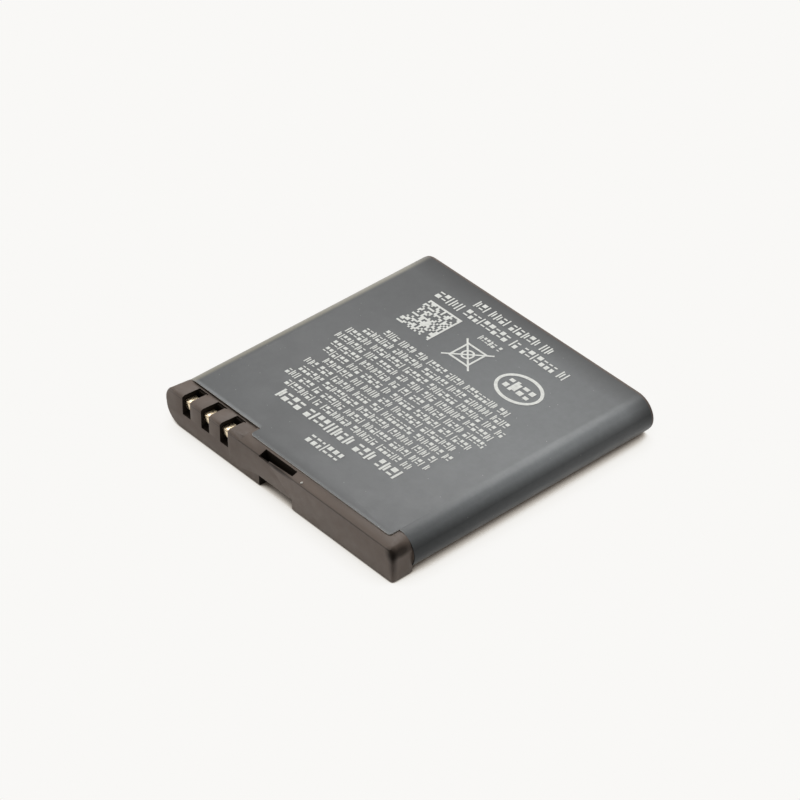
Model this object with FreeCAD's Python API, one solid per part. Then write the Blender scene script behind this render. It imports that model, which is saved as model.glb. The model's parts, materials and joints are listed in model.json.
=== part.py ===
import FreeCAD, Part
import math
import os

# Mobile phone battery: a flat lithium-ion pack with a moulded contact cap at one end, a thin cap at
# the other and a printed label wrapped round both and round the aluminium cell between them.
# The pack lies on its back. X runs along the contact end, Y from the contact face to the far end and
# Z up through the thickness. The origin is at the middle of the underside. Lengths are millimetres.
# Unless a comment says otherwise, places along X are measured from the left side of the pack and
# places along Y from the contact face.

# The whole pack
pack_width = 39.6
pack_length = 39.2
pack_thickness = 5.0

# Label and its print
label_thickness = 0.12
ink_thickness = 0.03
glue_gap = 0.03
label_far_margin = 0.3
label_seam_place = 27.5
label_seam_width = 0.3
tongue_left = 13.6
tongue_right_inset = 2.5
tongue_front = 1.4
tongue_corner_radius = 0.35

# Contact cap, seen part
cap_reach = 2.85
cap_side_inset = 0.05
cap_right_inset = 0.4
cap_deck_drop = 0.15
cap_edge_height = 4.4
cap_shoulder_radius = 1.6
cap_foot_radius = 0.5
cap_nose_radius = 0.3
bevel_reach = 1.3
contact_block_end = 13.2
contact_block_drop = 0.3
contact_block_bevel = 0.35

# Contact slots, thumb pocket and latch notch in the contact cap
contact_count = 3
first_slot_place = 3.85
contact_pitch = 3.34
slot_width = 1.4
slot_depth = 2.4
slot_floor = 2.3
slot_window_height = 1.1
slot_relief = 0.2
pocket_left = 16.7
pocket_width = 5.35
pocket_back = 1.1
pocket_lip = 0.15
pocket_far_lip = 0.35
pocket_lip_top = 4.3
pocket_mouth_width = 1.6
pocket_floor = 3.0
notch_left = 16.6
notch_width = 5.7
notch_height = 1.5
notch_depth = 2.45

# Contact cap, hidden tray behind the seen part
tray_front = 2.95
tray_wall = 0.5
tray_depth = 2.25

# Spring contacts
contact_width = 1.1
contact_thickness = 0.2
contact_nose_front = 0.6
contact_nose_height = 4.2
contact_heel = 0.42
contact_tail_back = 2.0
contact_tail_height = 4.05
contact_foot_rise = 0.75

# Circuit board and what it carries, placed along X from the pack's middle
board_thickness = 0.6
board_end_clearance = 1.95
board_clearance = 0.15
chip_height = 0.75
guard_chip_offset = -4.8
guard_chip_length = 2.9
guard_chip_depth = 1.6
guard_chip_lead_count = 3
switch_chip_offset = 5.2
switch_chip_length = 3.0
switch_chip_depth = 4.4
switch_chip_lead_count = 4
lead_reach = 0.55
lead_width = 0.3
lead_thickness = 0.15
small_part_length = 1.6
small_part_width = 0.8
small_part_height = 0.45
small_part_edge = 0.1
resistor_offsets = (-9.2, -1.2)
capacitor_offsets = (0.4, 14.0)

# Nickel strips, thermal fuse and weld plate between the board and the cell; the fuse is placed
# along X from the pack's middle and the weld plate from its right side
strip_thickness = 0.1
strip_height = 2.2
weld_plate_thickness = 0.2
weld_plate_side_distance = 6.6
weld_plate_width = 4.0
weld_plate_height = 2.6
fuse_offset = -5.6
fuse_width = 4.6
fuse_thickness = 0.3
fuse_height = 2.6
strip_overlap = 2.4
strip_run = 1.3

# Cell can, lid and terminal
can_wall = 0.35
can_floor = 0.5
can_edge_chamfer = 0.35
lid_thickness = 0.8
fit_gap = 0.02
rivet_shank_radius = 0.55
rivet_head_radius = 1.2
rivet_head_thickness = 0.3
rivet_tail_radius = 0.9
rivet_tail_thickness = 0.2
gasket_wall = 0.3
gasket_flange_radius = 1.5
gasket_flange_thickness = 0.25
lid_paper_thickness = 0.15
lid_paper_margin = 0.4
fill_plug_offset = -11.2
fill_plug_radius = 0.45
fill_plug_head_radius = 0.7
fill_plug_head_thickness = 0.25
inner_paper_width = 8.0
inner_paper_thickness = 0.3
terminal_plate_width = 6.4
terminal_plate_thickness = 0.2
inner_plate_height = 2.8

# Wound electrodes with their tabs and insulators
roll_clearance = 0.15
roll_headroom = 1.5
roll_core_margin = 4.3
roll_core_height = 0.25
spacer_thickness = 0.4
base_pad_thickness = 0.15
tab_thickness = 0.1
tab_height = 2.2
tab_lap = 1.8
tab_slot_width = 2.0
positive_tab_offset = 10.2

# Far cap and its pad
far_cap_floor = 0.65
far_cap_edge_radius = 0.28
far_pad_thickness = 0.1
far_pad_margin = 0.8

# Print layout: plain bars and simple marks in rows across the label
text_offset = -0.1
text_row_lengths = (21.3, 24.2, 23.3, 24.8, 22.3, 24.9, 25.8, 26.4, 26.6, 24.2, 20.8)
text_first_row = 10.65
text_row_pitch = 1.45
text_height = 0.9
word_lengths = (3.4, 2.1, 4.3, 1.5, 2.8)
word_gap = 0.55
title_row = 8.78
title_length = 21.2
title_height = 1.5
heading_row = 5.95
heading_middle = 21.0
heading_length = 5.2
heading_height = 1.6
mark_row_front = 26.9
mark_size = 4.9
mark_line = 0.45
code_patch_left = 8.4
code_patch_front = 27.7
code_patch_size = 5.5
code_patch_cells = 7
code_cell_gap = 0.2
box_mark_left = 16.6
ring_mark_left = 24.4
ring_mark_width = 6.5
caption_row = 32.7
caption_left = 17.4
caption_length = 3.7
foot_rows = ((34.75, 8.0, 30.2), (36.8, 12.4, 25.5))
foot_row_height = 1.25

# Sizes that follow from the ones above
middle_height = (pack_thickness - ink_thickness) / 2
label_top = pack_thickness - ink_thickness
wrap_inset = label_thickness + glue_gap
body_width = pack_width - 2 * wrap_inset
body_height = label_top - 2 * wrap_inset
deck_top = label_top - cap_deck_drop
block_top = label_top - contact_block_drop
lid_face = tray_front + tray_depth
far_cap_front = pack_length - far_cap_floor
can_end = far_cap_front - far_pad_thickness
inside_width = body_width - 2 * can_wall
inside_height = body_height - 2 * can_wall
lid_back = lid_face + lid_thickness
roll_front = lid_back + roll_headroom
roll_back = can_end - can_floor - base_pad_thickness
board_back = tray_front + board_thickness
gasket_front = lid_face - gasket_flange_thickness
rivet_front = gasket_front - rivet_head_thickness
pack_middle = pack_width / 2
tongue_right = pack_width - tongue_right_inset
board_width = body_width - 2 * tray_wall - 2 * board_end_clearance
guard_chip_place = pack_middle + guard_chip_offset
switch_chip_place = pack_middle + switch_chip_offset
resistor_places = [pack_middle + offset for offset in resistor_offsets]
capacitor_places = [pack_middle + offset for offset in capacitor_offsets]
weld_plate_place = pack_width - weld_plate_side_distance
fuse_place = pack_middle + fuse_offset
fill_plug_place = pack_middle + fill_plug_offset
roll_core_width = inside_width - 2 * roll_core_margin
positive_tab_place = pack_middle + positive_tab_offset
text_centre = pack_middle + text_offset

# How far a cutting tool runs past what it cuts, and how near counts as touching
beyond = 1.0
near = 0.001


def at(x_place, y_place, height):
    """A point placed from the left side, the contact face and the underside."""
    return FreeCAD.Vector(x_place - pack_width / 2, y_place - pack_length / 2, height)


def block(x_start, x_end, y_start, y_end, z_start, z_end):
    """A square-edged block between the given places."""
    return Part.makeBox(x_end - x_start, y_end - y_start, z_end - z_start, at(x_start, y_start, z_start))


def board_block(x_middle, width, y_start, y_end, height):
    """A block centred on the pack's mid height and on a place along X."""
    low = middle_height - height / 2
    return block(x_middle - width / 2, x_middle + width / 2, y_start, y_end, low, low + height)


def flat_oval(width, height, y_start, y_end):
    """A bar along Y whose section has full-round ends, centred in the pack."""
    radius = height / 2
    left = (pack_width - width) / 2
    right = left + width
    low = middle_height - radius
    high = middle_height + radius
    outline = Part.Wire([
        Part.makeLine(at(left + radius, y_start, low), at(right - radius, y_start, low)),
        Part.Arc(at(right - radius, y_start, low), at(right, y_start, middle_height),
                 at(right - radius, y_start, high)).toShape(),
        Part.makeLine(at(right - radius, y_start, high), at(left + radius, y_start, high)),
        Part.Arc(at(left + radius, y_start, high), at(left, y_start, middle_height),
                 at(left + radius, y_start, low)).toShape(),
    ])
    return Part.Face(outline).extrude(FreeCAD.Vector(0, y_end - y_start, 0))


def side_profile(points, x_start, x_end):
    """A solid swept along X from a closed outline of (y, z) points."""
    corners = [at(x_start, y_place, height) for y_place, height in points]
    corners.append(corners[0])
    return Part.Face(Part.makePolygon(corners)).extrude(FreeCAD.Vector(x_end - x_start, 0, 0))


def bent_strip(path, thickness, sweep):
    """A strip of even thickness that follows a path and is swept sideways by a vector."""
    normals = []
    for start, end in zip(path, path[1:]):
        normal = end.sub(start).cross(sweep)
        normals.append(normal.normalize())
    offsets = [normals[0] * (thickness / 2)]
    for before, after in zip(normals, normals[1:]):
        offsets.append((before + after) * (thickness / 2 / (1 + before.dot(after))))
    offsets.append(normals[-1] * (thickness / 2))
    corners = [point + offset for point, offset in zip(path, offsets)]
    corners.extend(point - offset for point, offset in zip(reversed(path), reversed(offsets)))
    corners.append(corners[0])
    return Part.Face(Part.makePolygon(corners)).extrude(sweep)


def turned(profile, x_place):
    """A solid of revolution about a line along Y, from (y, radius) points."""
    corners = [at(x_place + radius, y_place, middle_height) for y_place, radius in profile]
    corners.append(corners[0])
    axis_point = at(x_place, 0, middle_height)
    return Part.Face(Part.makePolygon(corners)).revolve(axis_point, FreeCAD.Vector(0, 1, 0), 360)


def rod(x_place, radius, y_start, y_end):
    """A round rod along Y at mid height."""
    return Part.makeCylinder(radius, y_end - y_start, at(x_place, y_start, middle_height),
                             FreeCAD.Vector(0, 1, 0))


def slot_places():
    """The middle of each contact slot along X."""
    return [first_slot_place + number * contact_pitch for number in range(contact_count)]


def cap_section():
    """Section of the seen part of the contact cap: round on the left, square-sided on the right."""
    radius = middle_height
    left = cap_side_inset
    right = pack_width - cap_right_inset
    rise = deck_top - radius
    deck_left = left + radius - math.sqrt(radius ** 2 - rise ** 2)
    lean = math.sqrt(0.5)
    foot_middle = at(right - cap_foot_radius * (1 - lean), 0, cap_foot_radius * (1 - lean))
    shoulder_middle = at(right - cap_shoulder_radius * (1 - lean), 0,
                         deck_top - cap_shoulder_radius * (1 - lean))
    outline = Part.Wire([
        Part.makeLine(at(left + radius, 0, 0), at(right - cap_foot_radius, 0, 0)),
        Part.Arc(at(right - cap_foot_radius, 0, 0), foot_middle,
                 at(right, 0, cap_foot_radius)).toShape(),
        Part.makeLine(at(right, 0, cap_foot_radius), at(right, 0, deck_top - cap_shoulder_radius)),
        Part.Arc(at(right, 0, deck_top - cap_shoulder_radius), shoulder_middle,
                 at(right - cap_shoulder_radius, 0, deck_top)).toShape(),
        Part.makeLine(at(right - cap_shoulder_radius, 0, deck_top), at(deck_left, 0, deck_top)),
        Part.Arc(at(deck_left, 0, deck_top), at(left, 0, radius), at(left + radius, 0, 0)).toShape(),
    ])
    return Part.Face(outline).extrude(FreeCAD.Vector(0, cap_reach, 0))


def cap_front():
    """The seen part of the contact cap, with its long bevel and the lower contact block."""
    block_sides = [(0, 0), (cap_reach, 0), (cap_reach, block_top), (contact_block_bevel, block_top),
                   (0, cap_edge_height)]
    deck_sides = [(0, 0), (cap_reach, 0), (cap_reach, deck_top), (bevel_reach, deck_top),
                  (0, cap_edge_height)]
    height_form = side_profile(block_sides, -beyond, contact_block_end)
    height_form = height_form.fuse(side_profile(deck_sides, contact_block_end, pack_width + beyond))
    form = cap_section().common(height_form.removeSplitter())
    nose_edges = [edge for edge in form.Edges
                  if edge.BoundBox.YMax < at(0, near, 0).y
                  and edge.BoundBox.ZMin < cap_edge_height - near]
    return form.makeFillet(cap_nose_radius, nose_edges)


def slot_cut(place):
    """One contact slot over the front edge, its relief at the back and its window to the tray."""
    left = place - slot_width / 2
    right = place + slot_width / 2
    slot = block(left, right, -beyond, slot_depth, slot_floor, pack_thickness + beyond)
    relief = block(left, right + slot_relief, slot_depth, slot_depth + slot_relief,
                   block_top - slot_relief, pack_thickness + beyond)
    window = block(left, right, slot_depth, tray_front, slot_floor, slot_floor + slot_window_height)
    return slot.fuse([relief, window])


def end_cap():
    """Moulded contact cap: seen front, slots, pocket, notch and the tray that holds the board."""
    skirt = flat_oval(body_width, body_height, cap_reach, lid_face)
    cap = cap_front().fuse(skirt)
    tray = flat_oval(body_width - 2 * tray_wall, body_height - 2 * tray_wall, tray_front, lid_face)
    pocket_right = pocket_left + pocket_width
    pocket_plan = [at(pocket_left, pocket_lip, pocket_floor),
                   at(pocket_right, pocket_far_lip, pocket_floor),
                   at(pocket_right, pocket_back, pocket_floor),
                   at(pocket_left, pocket_back, pocket_floor)]
    pocket_plan.append(pocket_plan[0])
    pocket = Part.Face(Part.makePolygon(pocket_plan)).extrude(FreeCAD.Vector(0, 0, pack_thickness))
    pocket_mouth = block(pocket_left, pocket_left + pocket_mouth_width, -beyond, pocket_back,
                         pocket_lip_top, pack_thickness)
    notch = block(notch_left, notch_left + notch_width, -beyond, notch_depth, -beyond, notch_height)
    cuts = [tray, pocket, pocket_mouth, notch]
    cuts.extend(slot_cut(place) for place in slot_places())
    return cap.cut(cuts).removeSplitter()


def spring_contact(place):
    """Gilded strip bent to a nose at the cap's edge, with a foot on the board."""
    half = contact_thickness / 2
    left = place - contact_width / 2
    path = [
        at(left, tray_front - half, slot_floor + contact_foot_rise),
        at(left, tray_front - half, slot_floor + half),
        at(left, contact_heel, slot_floor + half),
        at(left, contact_nose_front, contact_nose_height),
        at(left, contact_tail_back, contact_tail_height),
    ]
    return bent_strip(path, contact_thickness, FreeCAD.Vector(contact_width, 0, 0))


def circuit_board():
    """Board standing in the tray, against the back of the cap's front wall."""
    height = body_height - 2 * tray_wall - 2 * board_clearance
    return board_block(pack_middle, board_width, tray_front, board_back, height)


def leaded_chip(place, length, depth, lead_count, leads_up):
    """Chip on the back of the board, with cranked leads along two opposite sides."""
    case = Part.makeBox(length, depth, chip_height - lead_thickness,
                        FreeCAD.Vector(-length / 2, -depth / 2, lead_thickness))
    top_edges = [edge for edge in case.Edges if edge.BoundBox.ZMin > chip_height - near]
    chip = case.makeChamfer(lead_thickness, top_edges)
    pitch = length / lead_count
    half = lead_thickness / 2
    for side in (-1, 1):
        for number in range(lead_count):
            start = (number + 0.5) * pitch - length / 2 - lead_width / 2
            root = side * (depth / 2 - lead_thickness)
            knee = side * (depth / 2 + lead_reach / 2)
            toe = side * (depth / 2 + lead_reach)
            path = [
                FreeCAD.Vector(start, root, chip_height / 2),
                FreeCAD.Vector(start, knee, chip_height / 2),
                FreeCAD.Vector(start, knee, half),
                FreeCAD.Vector(start, toe, half),
            ]
            chip = chip.fuse(bent_strip(path, lead_thickness, FreeCAD.Vector(lead_width, 0, 0)))
    turn = FreeCAD.Rotation(FreeCAD.Vector(1, 0, 0), -90)
    if not leads_up:
        turn = turn.multiply(FreeCAD.Rotation(FreeCAD.Vector(0, 0, 1), 90))
    chip.Placement = FreeCAD.Placement(at(place, board_back, middle_height), turn)
    return chip


def small_parts(places):
    """Chip resistors or capacitors on the back of the board, one solid each."""
    parts = []
    for place in places:
        body = board_block(place, small_part_width, board_back, board_back + small_part_height,
                           small_part_length)
        edges = [edge for edge in body.Edges if abs(edge.BoundBox.ZLength - small_part_length) < near]
        parts.append(body.makeChamfer(small_part_edge, edges))
    return Part.Compound(parts)


def weld_plate():
    """Clad plate on the lid that takes the positive strip."""
    return board_block(weld_plate_place, weld_plate_width, lid_face - weld_plate_thickness, lid_face,
                       weld_plate_height)


def crossing_strip(cell_place, board_place, cell_face):
    """Strip that lies on the cell side at one place and bends over to the back of the board."""
    half = strip_thickness / 2
    low = middle_height - strip_height / 2
    way = math.copysign(1, board_place - cell_place)
    path = [
        at(cell_place, cell_face - half, low),
        at(board_place - way * strip_run, cell_face - half, low),
        at(board_place, board_back + half, low),
        at(board_place + way * strip_overlap, board_back + half, low),
    ]
    return bent_strip(path, strip_thickness, FreeCAD.Vector(0, 0, strip_height))


def positive_strip():
    """Strip from the weld plate on the lid to the board."""
    return crossing_strip(weld_plate_place + weld_plate_width / 2,
                          weld_plate_place - weld_plate_width / 2, lid_face - weld_plate_thickness)


def lid_paper():
    """Insulating paper on the lid, open round the terminal, the plug and the weld plate."""
    sheet = flat_oval(inside_width - 2 * lid_paper_margin, inside_height - 2 * lid_paper_margin,
                      lid_face - lid_paper_thickness, lid_face)
    opening = board_block(weld_plate_place, weld_plate_width + 2 * fit_gap, 0, pack_length,
                          weld_plate_height + 2 * fit_gap)
    terminal_hole = rod(pack_middle, gasket_flange_radius + fit_gap, 0, pack_length)
    plug_hole = rod(fill_plug_place, fill_plug_head_radius + fit_gap, 0, pack_length)
    return sheet.cut([opening, terminal_hole, plug_hole])


def fuse_back():
    """The face of the thermal fuse towards the cell, on the strip that lies on the lid paper."""
    return lid_face - lid_paper_thickness - strip_thickness


def thermal_fuse():
    """Flat resettable fuse between the two negative strips."""
    body = board_block(fuse_place, fuse_width, fuse_back() - fuse_thickness, fuse_back(), fuse_height)
    upright = [edge for edge in body.Edges if abs(edge.BoundBox.YLength - fuse_thickness) < near]
    return body.makeFillet(fuse_thickness, upright)


def fuse_strip():
    """Strip from the terminal rivet to the near face of the thermal fuse, stepped to meet both."""
    half = strip_thickness / 2
    low = middle_height - strip_height / 2
    fuse_right = fuse_place + fuse_width / 2
    step = (pack_middle - rivet_head_radius - fuse_right) / 3
    path = [
        at(pack_middle + rivet_shank_radius, rivet_front - half, low),
        at(fuse_right + 2 * step, rivet_front - half, low),
        at(fuse_right + step, fuse_back() - fuse_thickness - half, low),
        at(fuse_place, fuse_back() - fuse_thickness - half, low),
    ]
    return bent_strip(path, strip_thickness, FreeCAD.Vector(0, 0, strip_height))


def negative_strip():
    """Strip from under the thermal fuse to the board."""
    fuse_left = fuse_place - fuse_width / 2
    return crossing_strip(fuse_place, fuse_left - 2 * strip_run, lid_face - lid_paper_thickness)


def cell_can():
    """Deep-drawn aluminium can, open towards the contact cap."""
    can = flat_oval(body_width, body_height, lid_face, can_end)
    far_edges = [edge for edge in can.Edges if edge.BoundBox.YMin > at(0, can_end - near, 0).y]
    can = can.makeChamfer(can_edge_chamfer, far_edges)
    hollow = flat_oval(inside_width, inside_height, lid_face, can_end - can_floor)
    return can.cut(hollow)


def cell_lid():
    """Lid welded in the can's mouth, with holes for the terminal and the filling plug."""
    lid = flat_oval(inside_width - 2 * fit_gap, inside_height - 2 * fit_gap, lid_face, lid_back)
    gasket_hole = rod(pack_middle, rivet_shank_radius + gasket_wall + fit_gap, 0, pack_length)
    fill_hole = rod(fill_plug_place, fill_plug_radius + fit_gap, 0, pack_length)
    head_seat = rod(fill_plug_place, fill_plug_head_radius + fit_gap, lid_face,
                    lid_face + fill_plug_head_thickness)
    return lid.cut([gasket_hole, fill_hole, head_seat])


def fill_plug():
    """Pin with a flat head, pressed in the hole through which the cell is filled."""
    return turned([(lid_face, 0), (lid_face, fill_plug_head_radius),
                   (lid_face + fill_plug_head_thickness, fill_plug_head_radius),
                   (lid_face + fill_plug_head_thickness, fill_plug_radius),
                   (lid_back, fill_plug_radius), (lid_back, 0)], fill_plug_place)


def rivet_gasket():
    """Flanged bush that insulates the terminal rivet from the lid."""
    bore = rivet_shank_radius + fit_gap
    tube = rivet_shank_radius + gasket_wall
    return turned([(gasket_front, bore), (gasket_front, gasket_flange_radius),
                   (lid_face, gasket_flange_radius), (lid_face, tube), (lid_back, tube),
                   (lid_back, bore)], pack_middle)


def rivet_terminal():
    """Terminal rivet, closed over the inner terminal plate."""
    tail_front = lid_back + inner_paper_thickness + terminal_plate_thickness
    tail_back = tail_front + rivet_tail_thickness
    return turned([(rivet_front, 0), (rivet_front, rivet_head_radius),
                   (gasket_front, rivet_head_radius), (gasket_front, rivet_shank_radius),
                   (tail_front, rivet_shank_radius), (tail_front, rivet_tail_radius),
                   (tail_back, rivet_tail_radius), (tail_back, 0)], pack_middle)


def inner_plate(width, y_start, thickness):
    """Plate under the lid with a hole for the terminal rivet."""
    plate = board_block(pack_middle, width, y_start, y_start + thickness, inner_plate_height)
    return plate.cut(rod(pack_middle, rivet_shank_radius + fit_gap, 0, pack_length))


def electrode_roll():
    """Wound electrodes and separators, pressed flat, with the slit that the winding pin leaves."""
    roll = flat_oval(inside_width - 2 * roll_clearance, inside_height - 2 * roll_clearance,
                     roll_front, roll_back)
    return roll.cut(flat_oval(roll_core_width, roll_core_height, 0, pack_length))


def tab(place, face):
    """Tab folded from the end of the roll to a face under the lid."""
    half = tab_thickness / 2
    low = middle_height - tab_height / 2
    path = [
        at(place, roll_front, low),
        at(place, roll_front - spacer_thickness - half, low),
        at(place + tab_lap, face + tab_lap / 4, low),
        at(place + tab_lap, face + half, low),
        at(place, face + half, low),
    ]
    return bent_strip(path, tab_thickness, FreeCAD.Vector(0, 0, tab_height))


def negative_tab_place():
    """Where the negative tab leaves the roll, clear of the rivet's closed end."""
    return pack_middle + rivet_tail_radius + 2 * tab_thickness


def roll_spacer():
    """Plate on the end of the roll, with a slot for each tab."""
    plate = flat_oval(inside_width - 2 * roll_clearance, inside_height - 2 * roll_clearance,
                      roll_front - spacer_thickness, roll_front)
    slots = [board_block(place, tab_slot_width, 0, pack_length, tab_height + 2 * fit_gap)
             for place in (negative_tab_place(), positive_tab_place)]
    return plate.cut(slots)


def base_pad():
    """Insulating pad between the roll and the can's floor."""
    return flat_oval(inside_width - 2 * roll_clearance, inside_height - 2 * roll_clearance,
                     roll_back, roll_back + base_pad_thickness)


def far_cap():
    """Thin moulded cap on the far end, with a rim that the label stops at."""
    rim = flat_oval(pack_width - 2 * cap_side_inset, label_top, pack_length - label_far_margin,
                    pack_length)
    far_edges = [edge for edge in rim.Edges if edge.BoundBox.YMin > at(0, pack_length - near, 0).y]
    rim = rim.makeFillet(far_cap_edge_radius, far_edges)
    plug = flat_oval(body_width, body_height, far_cap_front, pack_length - label_far_margin)
    return rim.fuse(plug).removeSplitter()


def far_pad():
    """Adhesive pad between the can and the far cap."""
    return flat_oval(body_width - 2 * far_pad_margin, body_height - 2 * far_pad_margin, can_end,
                     far_cap_front)


def label_wrap():
    """Film wrapped round the cell, with a tongue over the cap and a butt seam underneath."""
    far_edge = pack_length - label_far_margin
    outside = flat_oval(pack_width, label_top, cap_reach, far_edge)
    inside = flat_oval(pack_width - 2 * label_thickness, label_top - 2 * label_thickness, cap_reach,
                       far_edge)
    seam = block(label_seam_place, label_seam_place + label_seam_width, 0, pack_length, -beyond,
                 middle_height)
    tongue = block(tongue_left, tongue_right, tongue_front, cap_reach, label_top - label_thickness,
                   label_top)
    corners = [edge for edge in tongue.Edges
               if edge.BoundBox.ZLength > label_thickness / 2
               and edge.BoundBox.YMax < at(0, cap_reach - near, 0).y]
    tongue = tongue.makeFillet(tongue_corner_radius, corners)
    return outside.cut([inside, seam]).fuse(tongue).removeSplitter()


def ink(x_start, x_end, y_start, y_end):
    """A flat printed shape on the label."""
    return block(x_start, x_end, y_start, y_end, label_top, pack_thickness)


def word_row(middle, length, y_middle, height):
    """A centred row of word-long bars."""
    bars = []
    place = middle - length / 2
    end = middle + length / 2
    while end - place > word_gap:
        word = word_lengths[len(bars) % len(word_lengths)]
        word_end = min(place + word, end)
        bars.append(ink(place, word_end, y_middle - height / 2, y_middle + height / 2))
        place = word_end + word_gap
    return bars


def code_patch():
    """Square patch with two solid borders and a checked field."""
    step = code_patch_size / code_patch_cells
    right = code_patch_left + code_patch_size
    back = code_patch_front + code_patch_size
    border = ink(code_patch_left, right, back - step, back)
    border = border.fuse(ink(right - step, right, code_patch_front, back))
    checks = []
    for row in range(code_patch_cells - 1):
        for column in range(code_patch_cells - 1):
            if (row + column) % 2 == 0:
                start = code_patch_left + column * step
                front = code_patch_front + row * step
                checks.append(ink(start, start + step - code_cell_gap,
                                  front, front + step - code_cell_gap))
    return [border] + checks


def box_mark():
    """Outline of a square."""
    outer = ink(box_mark_left, box_mark_left + mark_size, mark_row_front, mark_row_front + mark_size)
    hole = ink(box_mark_left + mark_line, box_mark_left + mark_size - mark_line,
               mark_row_front + mark_line, mark_row_front + mark_size - mark_line)
    return outer.cut(hole)


def ring_mark():
    """Outline of a rounded bar."""
    def disc(inset):
        form = ink(ring_mark_left + inset, ring_mark_left + ring_mark_width - inset,
                   mark_row_front + inset, mark_row_front + mark_size - inset)
        upright = [edge for edge in form.Edges if edge.BoundBox.ZLength > ink_thickness / 2]
        return form.makeFillet(mark_size / 2 - inset - fit_gap, upright)
    return disc(0).cut(disc(mark_line))


def label_print():
    """All printed bars and marks on the label."""
    shapes = []
    for number, length in enumerate(text_row_lengths):
        shapes.extend(word_row(text_centre, length, text_first_row + number * text_row_pitch,
                               text_height))
    shapes.extend(word_row(text_centre, title_length, title_row, title_height))
    shapes.append(ink(heading_middle - heading_length / 2, heading_middle + heading_length / 2,
                      heading_row - heading_height / 2, heading_row + heading_height / 2))
    for row, start, end in foot_rows:
        shapes.append(ink(start, end, row - foot_row_height / 2, row + foot_row_height / 2))
    shapes.append(ink(caption_left, caption_left + caption_length, caption_row - text_height / 2,
                      caption_row + text_height / 2))
    shapes.extend(code_patch())
    shapes.append(box_mark())
    shapes.append(ring_mark())
    return Part.Compound(shapes)


def main():
    """Builds every sub-part and writes each to its own file."""
    os.makedirs("parts", exist_ok=True)
    plate_front = lid_back + inner_paper_thickness
    nodes = {
        "end_cap": end_cap(),
        "circuit_board": circuit_board(),
        "protection_chip": leaded_chip(guard_chip_place, guard_chip_length, guard_chip_depth,
                                       guard_chip_lead_count, True),
        "switch_chip": leaded_chip(switch_chip_place, switch_chip_length, switch_chip_depth,
                                   switch_chip_lead_count, False),
        "chip_resistors": small_parts(resistor_places),
        "chip_capacitors": small_parts(capacitor_places),
        "positive_strip": positive_strip(),
        "negative_strip": negative_strip(),
        "fuse_strip": fuse_strip(),
        "thermal_fuse": thermal_fuse(),
        "weld_plate": weld_plate(),
        "lid_paper": lid_paper(),
        "cell_can": cell_can(),
        "cell_lid": cell_lid(),
        "fill_plug": fill_plug(),
        "rivet_gasket": rivet_gasket(),
        "rivet_terminal": rivet_terminal(),
        "inner_insulator": inner_plate(inner_paper_width, lid_back, inner_paper_thickness),
        "terminal_plate": inner_plate(terminal_plate_width, plate_front, terminal_plate_thickness),
        "electrode_roll": electrode_roll(),
        "roll_spacer": roll_spacer(),
        "base_pad": base_pad(),
        "negative_tab": tab(negative_tab_place(), plate_front + terminal_plate_thickness),
        "positive_tab": tab(positive_tab_place, lid_back),
        "far_pad": far_pad(),
        "far_cap": far_cap(),
        "label_wrap": label_wrap(),
        "label_print": label_print(),
    }
    contact_names = ("contact_positive", "contact_sense", "contact_negative")
    for name, place in zip(contact_names, slot_places()):
        nodes[name] = spring_contact(place)
    for name, shape in nodes.items():
        shape.exportStep("parts/" + name + ".step")
        print(name, len(shape.Solids), "solid", round(shape.Volume, 3), "mm3", shape.isValid())


main()
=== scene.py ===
import json
import math
import random

import bmesh
import bpy
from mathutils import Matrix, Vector


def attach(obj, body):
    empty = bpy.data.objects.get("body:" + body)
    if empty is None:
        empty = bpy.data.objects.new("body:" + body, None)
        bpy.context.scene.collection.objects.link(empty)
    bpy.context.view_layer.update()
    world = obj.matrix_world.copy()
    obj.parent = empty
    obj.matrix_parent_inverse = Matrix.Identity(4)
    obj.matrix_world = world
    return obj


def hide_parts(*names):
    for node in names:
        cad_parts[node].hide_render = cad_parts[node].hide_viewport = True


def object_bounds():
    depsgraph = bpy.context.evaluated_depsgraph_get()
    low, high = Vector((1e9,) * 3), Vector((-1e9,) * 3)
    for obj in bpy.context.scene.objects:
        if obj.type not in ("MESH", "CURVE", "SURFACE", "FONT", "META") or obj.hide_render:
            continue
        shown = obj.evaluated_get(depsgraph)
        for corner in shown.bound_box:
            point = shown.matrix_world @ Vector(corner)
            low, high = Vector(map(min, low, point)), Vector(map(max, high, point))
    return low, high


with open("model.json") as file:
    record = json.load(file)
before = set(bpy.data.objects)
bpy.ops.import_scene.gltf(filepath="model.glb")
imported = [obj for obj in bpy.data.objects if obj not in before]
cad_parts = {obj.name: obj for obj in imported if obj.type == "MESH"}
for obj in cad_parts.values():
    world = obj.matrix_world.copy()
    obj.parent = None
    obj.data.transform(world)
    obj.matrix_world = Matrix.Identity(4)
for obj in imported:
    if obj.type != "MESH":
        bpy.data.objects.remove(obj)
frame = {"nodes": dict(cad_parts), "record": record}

bl_info = {
    "name": "Mobile phone battery dressing",
    "version": (1, 0, 0),
    "blender": (4, 5, 0),
    "location": "3D View > Sidebar > Phone battery",
    "description": "Builds the finished surfaces of a flat phone battery round its fixed frame",
    "category": "Object",
}

# Places are given in millimetres from the left side, the contact face and the underside of the
# pack, and turned into the frame's metres by place().
MM = 0.001
CAD_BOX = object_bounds()
PACK_LOW = Vector(CAD_BOX[0])
PACK_HIGH = Vector(CAD_BOX[1])
BODY = "root"

# Points closer than this many metres count as one, and a bisecting plane keeps apart even those
# that are this little away from it
SAME_PLACE = 1e-6
BISECT_THRESHOLD = 1e-8

# Sizes of the label that its frame node does not give by its box
LABEL_TOP = 4.97
LABEL_BACK = 38.9
LABEL_SEAM = (27.5, 27.8)
CAP_REACH = 2.85
TONGUE_LEFT = 13.6
TONGUE_RIGHT = 37.1
TONGUE_FRONT = 1.4

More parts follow.
